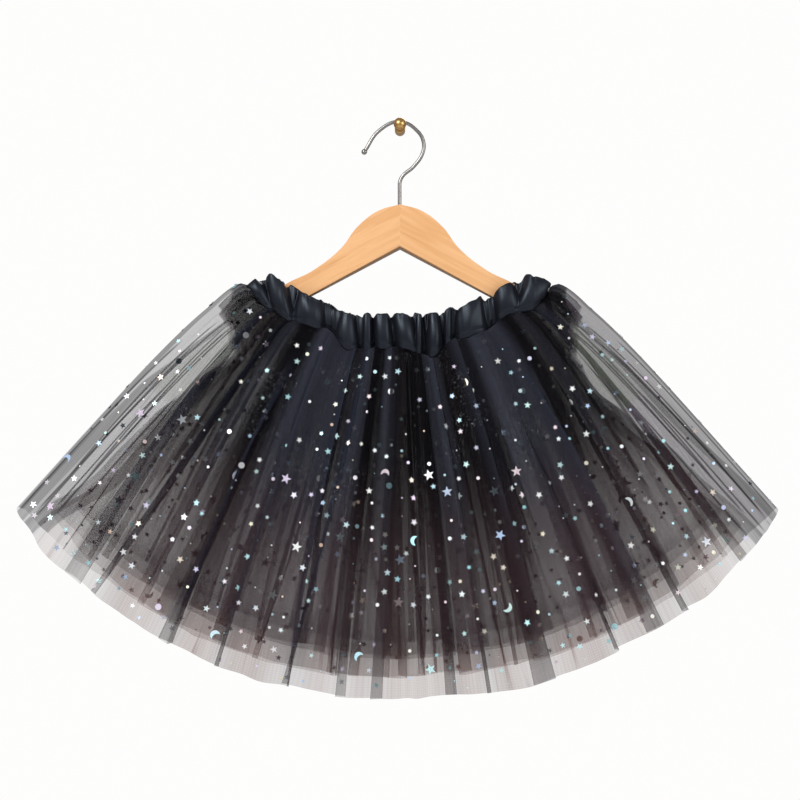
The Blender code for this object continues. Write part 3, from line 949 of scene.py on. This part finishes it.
def crowdedTurns(pleats, columns):
    # the columns' places round the layer, closer together at the pleats
    guide = np.linspace(-1, 3, 8001)
    crowd = 1 + sum(
        3.0 * np.exp(-(((guide - at + 2) % 4 - 2) / (2.2 * wide)) ** 2)
        for at, wide in zip(pleats["at"], pleats["wide"])
    )
    crowd = np.concatenate([[0], np.cumsum((crowd[1:] + crowd[:-1]) / 2)])
    return np.interp(np.linspace(0, crowd[-1], columns + 1), crowd, guide)


def pleatRow(pleats, flatTurn, drop):
    # how one row is pulled round and lifted, then where it has a painted navy sheen and painted
    # shade, and where it is folded and pleated
    seamAway = np.abs((flatTurn + 1) % 2 - 1)  # 1 at a side seam and 0 at the middle
    calm = eased((1 - seamAway - 0.05) / 0.16)
    turn, out, navySheen, paintedShade, inner, pleated = flatTurn.copy(), *np.zeros((5, len(flatTurn)))
    for k in range(len(pleats["at"])):
        fade = eased((drop - pleats["start"][k]) / 0.35)
        fade = fade * eased((pleats["end"][k] - drop) / 0.35)
        centre = pleats["at"][k] + pleats["drift"][k] * (drop - 0.3)
        wideHere = pleats["wide"][k] * (0.75 + 0.45 * drop)
        s = ((flatTurn - centre + 2) % 4 - 2) / wideHere
        pull = s * np.exp(-0.5 * s * s) * fade * calm
        turn -= pleats["over"][k] * wideHere * pull
        out += pleats["lean"][k] * pleats["deep"][k] * (0.12 + 0.88 * drop) * pull * 1.6
        behind = s * pleats["lean"][k]
        # painted shade: more cover on one side of each pleat, fading away from it
        soft = np.where(behind > 0, np.exp(-behind / 3.2), np.exp(-behind**2))
        paintedShade = np.maximum(paintedShade, soft * fade * pleats["paintedShade"][k])
        inner = np.maximum(inner, np.exp(-((s / 0.85) ** 4)) * fade * calm)
        pleated = np.maximum(pleated, np.exp(-((s / 1.7) ** 4)) * fade * calm)
        if pleats["navySheen"][k]:
            navySheen = np.maximum(navySheen, np.exp(-((s / 1.1) ** 4)) * fade)
    return turn, out, navySheen, paintedShade * (1 - 0.6 * eased((drop - 0.8) / 0.2)), inner, pleated


def threadTint(layer, drops, tints, bodyOff):
    # dark above, with painted light on the raised folds and a painted navy sheen, a painted warm
    # glow of light from behind lower down, and pale at the hem
    paintedFoldLight, navySheen, pleated = tints
    colour = mixed(np.array(layer["thread"]), np.array(layer["paintedFoldLight"]), paintedFoldLight)
    # a painted warm glow of light from behind, growing towards the hem
    paintedWarmLight = 0.75 * eased((drops - 0.30) / 0.45)[:, None, None] * (1 - 0.6 * navySheen)
    colour = mixed(colour, np.array(veil["navySheen"]), navySheen * 0.6)
    colour = mixed(colour, np.array(layer["paintedWarmLight"]), paintedWarmLight * (0.75 + 0.25 * paintedFoldLight))
    beside = eased((bodyOff + 0.06) / 0.04)[..., None]
    slate = np.maximum(0.9 * pleated, beside)
    hemTint = mixed(np.array(veil["hem"]), np.array(veil["slate"]), slate)
    colour = mixed(colour, hemTint, eased((drops - 0.84) / 0.12)[:, None, None])
    return np.concatenate([colour, np.ones((*colour.shape[:2], 1))], 2)


def foldedLayer(layer):
    # every point of a layer with its pleats, its cover of threads and its tint
    pleats, creases = pleatTable(layer), creaseTable(layer)
    drops = np.linspace(0, 1, skirt["rows"] + 1) ** 1.15 * layer["hem"]
    flatTurn = crowdedTurns(pleats, skirt["columns"])
    wave = foldNoise(flatTurn, 26, layer["seed"] + 1) - 0.5
    ragged = foldNoise(flatTurn, 150, layer["seed"] + 2) - 0.5
    gather = foldNoise(flatTurn, 420, layer["seed"] + 3)
    wide = foldNoise(flatTurn, 64, layer["seed"] + 4)
    points, outward, counts, tints, sides = [], [], [], [], []
    for drop in drops:
        turn, out, navySheen, paintedShade, inner, pleated = pleatRow(pleats, flatTurn, drop)
        out += 0.0022 * (wave + 0.5 * ragged) * drop
        more = (0.0040 * wave + 0.0016 * ragged) * drop**3
        place, facing = skirtRow(turn, drop, layer, more, out)
        points.append(place)
        outward.append(facing)
        front, share = roundTurn(turn)
        size = band["halfWidth"] + skirt["sideLength"] * drop * sin(skirt["fanAngle"])
        squareness = mixed(band["squareness"], skirt["hemSquareness"], drop)
        across = ovalAt(share, squareness, size, skirt["meanDepth"])[0]
        side, thin = sideCover(across, drop, front, layer)
        # the gathers are crowded at the waist and thin out down to the hem
        # the 1 + 0.5 share of shade is painted shade: more cover beside the pleats stands in for
        # their shadow
        crush = mixed(2.8, 1.07, eased(drop / 0.97) ** 0.75) * (1 + 0.5 * paintedShade) * thin
        crush *= 1 + (gather - 0.5) * mixed(0.9, 0.12, drop) + (wide - 0.5) * 0.35
        crush *= (1 - 0.16 * inner) * (1 - 0.38 * pleated * eased((drop - 0.86) / 0.12))
        if layer["place"]:
            crush *= 1 + 0.5 * eased((drop - 0.80) / 0.08)
        for at, drift, strength, first, long in creases:
            runs = eased((drop - first) / 0.1) * eased((first + long - drop) / 0.1)
            off = (flatTurn - at - drift * (drop - first) + 2) % 4 - 2
            crush += strength * runs * np.exp(-((off / skirt["creaseWidth"]) ** 2))
        counts.append(crush)
        sides.append(side)
        # painted light on the raised folds: lighter at random and on the navy sheen, darker in the
        # painted shade
        paintedFoldLight = np.clip(0.24 + 2.0 * (wide - 0.5) + 0.5 * navySheen - 0.5 * paintedShade, 0, 1)
        tints.append(np.stack([paintedFoldLight, navySheen, pleated]))
    points, outward, counts = np.array(points), np.array(outward), np.array(counts)
    tints = np.array(tints).transpose(1, 0, 2)[..., None]
    normal = np.cross(np.gradient(points, axis=1), np.gradient(points, axis=0))
    normal /= np.maximum(np.linalg.norm(normal, axis=2, keepdims=True), 1e-12)
    facing = np.abs((normal * outward).sum(2))
    floats = {name: np.array([side[name] for side in sides]) for name in sides[0]}
    floats["count"] = counts / np.maximum(facing, skirt["leastFacing"])
    thread = threadTint(layer, drops, tints, floats["bodyOff"])
    width, height = layer["cut"]
    flat = np.stack(np.meshgrid((flatTurn + 1) / 4 * width, drops / drops[-1] * height), -1)
    return {
        "points": points, "normal": normal, "outward": outward, "floats": floats,
        "thread": thread, "flat": flat, "turn": flatTurn, "drops": drops,
    }


def addLayer(name):
    layer = layers[name]
    folded = foldedLayer(layer)
    mesh, row, column = gridMesh(name, skirt["columns"], skirt["rows"])
    fillGrid(mesh, row, column, folded["points"], folded["flat"],
             folded["floats"], {"thread": folded["thread"]})
    closeRing(mesh)
    nodes = [layer["node"] + "_front", layer["node"] + "_back"]
    piece = addObject(name, mesh, tulleFinish(name + "Net", layer), nodes)
    print(name, len(mesh.polygons) * 2)
    return folded


# ---- foil print

foil = {
    "count": 1000,
    "apart": 0.0075,
    "starWaist": 0.42,
    "horn": radians(70),  # the crescent's horns, and its inner arc's middle, radius and share
    "moonMiddle": 0.847,
    "moonFlatter": 1.067,
    "moonShare": 0.883,
    "lift": 0.00025,
    "thick": 0.00012,
    "frontThinned": 0.35,  # how many are left out in the veil
    "backThinned": 0.9,
    "lowest": 0.86,
    # kind, the draw it ends at, least radius, how much more, power, and its rare big size
    "kinds": (
        ("moon", 0.018, 0.0038, 0.0, 1, 1.0, 0.0038),
        ("star", 0.56, 0.0019, 0.0012, 1, 0.94, 0.0044),
        ("dot", 0.78, 0.0010, 0.0010, 2, 0.95, 0.0025),
        ("fleck", 1.0, 0.0003, 0.0004, 1, 1.0, 0.0007),
    ),
    # colour and how often it comes
    "colours": (
        ((0.95, 0.97, 0.98), 10), ((0.55, 0.90, 0.93), 5), ((0.35, 0.72, 0.78), 3),
        ((0.50, 0.66, 0.93), 3), ((0.80, 0.68, 0.93), 3), ((0.93, 0.74, 0.82), 3),
        ((0.96, 0.88, 0.66), 3), ((0.86, 0.58, 0.42), 1), ((0.22, 0.48, 0.56), 2),
    ),
}


def motifPoints(bm, kind, radius, place):
    sides = 22 if kind == "moon" else 10
    made = bmesh.ops.create_circle(bm, cap_ends=True, segments=sides, radius=radius)
    if kind == "star":
        for vert in made["verts"][::2]:
            vert.co *= foil["starWaist"]
    if kind == "moon":
        # the circle's right side is folded in to a second, flatter arc between the horns
        middle, flatter = foil["moonMiddle"], foil["moonFlatter"]
        for vert in made["verts"]:
            angle = atan2(vert.co.y, vert.co.x)
            if abs(angle) < foil["horn"]:
                inner = angle * foil["moonShare"]
                vert.co.x = radius * (middle - flatter * cos(inner))
                vert.co.y = radius * flatter * sin(inner)
    bmesh.ops.transform(bm, matrix=place, verts=made["verts"])
    return made["verts"]


def motifOf(kind, size):
    # what a draw of kind and size from 0 to 1 makes
    for name, below, least, more, power, bigAbove, big in foil["kinds"]:
        if kind < below:
            break
    radius = big if size > bigAbove else least + more * size**power
    return "dot" if name == "fleck" else name, radius


def addPrint(name, folded, look):
    rng = np.random.default_rng(look["seed"])
    bm = bmesh.new()
    paint = bm.verts.layers.float_color.new("foil")
    points, normal, outward = folded["points"], folded["normal"], folded["outward"]
    often = np.cumsum([share for _, share in look["colours"]])
    taken, tries = [], 0
    while len(taken) < look["count"] and tries < look["count"] * 12:
        tries += 1
        across, down = rng.random(), rng.random() ** 0.62
        spin, kind, tone = rng.random() * 2 * pi, rng.random(), rng.random()
        size = rng.random()
        column = int(np.searchsorted(folded["turn"], -1 + 4 * across))
        row = int(round(down * (len(folded["drops"]) - 1)))
        if row < 3 or row > len(folded["drops"]) - 2 or column >= points.shape[1] - 2:
            continue
        centre = points[row, column]
        if any(np.abs(centre - other).max() < look["apart"] for other in taken):
            continue
        up, facing = normal[row, column], outward[row, column]
        if up @ facing < 0:
            up = -up
        thinned = look["frontThinned"] if across < 0.5 else look["backThinned"]
        if look["bodyOnly"]:
            thinned = 1.0
            if down > look["lowest"]:
                continue
        if folded["floats"]["bodyOff"][row, column] > 0 and rng.random() < thinned:
            continue
        if up @ facing < 0.45:
            continue
        taken.append(centre)
        alongside = points[row, column + 1] - points[row, column - 1]
        alongside = alongside - up * (alongside @ up)
        alongside /= max(np.linalg.norm(alongside), 1e-9)
        axes = Matrix(np.stack([alongside, np.cross(up, alongside), up], 1).tolist())
        place = Matrix.Translation((centre + up * look["lift"]).tolist()) @ axes.to_4x4()
        place = place @ Matrix.Rotation(spin, 4, "Z")
        verts = motifPoints(bm, *motifOf(kind, size), place)
        colour = look["colours"][int(np.searchsorted(often, tone * often[-1]))][0]
        bright = look["bright"] * (0.45 + 0.55 * rng.random() ** 0.6)
        other = look["colours"][int(np.searchsorted(often, rng.random() * often[-1]))][0]
        for vert in verts:
            share = 0.45 * rng.random()
            vert[paint] = (*(bright * mixed(*pair, share) for pair in zip(colour, other)), 1.0)
    bm.normal_update()
    made = bmesh.ops.extrude_face_region(bm, geom=bm.faces[:], use_keep_orig=True)
    for item in made["geom"]:
        if isinstance(item, bmesh.types.BMVert):
            item.co += item.normal * look["thick"]
    bmesh.ops.recalc_face_normals(bm, faces=bm.faces)
    piece = addPiece(name, bm, look["finish"], [], sharp=30)
    print(name, len(taken), "motifs,", len(piece.data.polygons), "faces")


def addPrints(outer, middle):
    finish = foilFinish()
    main = {**foil, "seed": 5, "bright": 0.95, "finish": finish, "bodyOnly": False}
    dim = {**foil, "seed": 6, "count": 480, "bright": 0.6, "finish": finish, "bodyOnly": True}
    addPrint("foilStars", outer, main)
    addPrint("innerFoilStars", middle, dim)


# ---- camera, floor, lights and world


def addCamera():
    lens = {"place": (0.0, -1.5, -0.2185), "length": 83.1, "sensor": 36.0}
    data = bpy.data.cameras.new("camera")
    data.lens, data.sensor_width = lens["length"], lens["sensor"]
    camera = linked("camera", data)
    camera.location = lens["place"]
    camera.rotation_euler = (radians(90), 0, 0)
    scene.camera = camera


def addStage():
    bm = bmesh.new()
    bmesh.ops.create_grid(bm, x_segments=1, y_segments=1, size=1.0)
    bmesh.ops.translate(bm, verts=bm.verts, vec=(0.0, -0.25, -0.75))
    floor = linked("floor", meshOf("floor", bm))
    material, start, feed = newFinish("paleFloor", {"Roughness": 0.8})
    cloud = start.noise(start.objectPlace(), 3.0)
    feed(Base_Color=cloud.tinted((0.84, 0.84, 0.84), (0.87, 0.87, 0.87)))
    floor.data.materials.append(material)


def addLight(name, place, aim, size, power, colour=(1, 1, 1)):
    data = bpy.data.lights.new(name, "AREA")
    data.shape, data.size, data.energy, data.color = "DISK", size, power, colour
    light = linked(name, data)
    light.location = place
    light.rotation_euler = (Vector(aim) - Vector(place)).to_track_quat("-Z", "Y").to_euler()
    light.visible_camera = False


def addLights():
    middle = (0.0, -0.03, -0.25)
    addLight("keyLight", (-1.1, -1.5, 0.9), middle, 0.9, 38)
    addLight("fillLight", (1.4, -1.3, 0.2), middle, 1.2, 15)
    addLight("backLight", (0.4, 1.4, 0.8), middle, 1.0, 10)
    world = bpy.data.worlds.new("studio")
    scene.world = world
    world.use_nodes = True
    tree = world.node_tree
    start = Wire(tree)
    seen = start.made("ShaderNodeLightPath", None, None, "Is Camera Ray")
    background = tree.nodes["Background"]
    background.inputs["Color"].default_value = (1.0, 0.995, 0.99, 1.0)
    strength = seen.between(0.0, 1.0, 0.36, 0.99)
    tree.links.new(strength.socket, background.inputs["Strength"])
    scene.view_settings.view_transform = "Standard"
    scene.cycles.transparent_max_bounces = 96


addCamera()
addPeg()
addHook()
addHanger()
addBand()
outerFolded = addLayer("outerTulle")
middleFolded = addLayer("middleTulle")
addLayer("innerTulle")
addPrints(outerFolded, middleFolded)
addStage()
addLights()
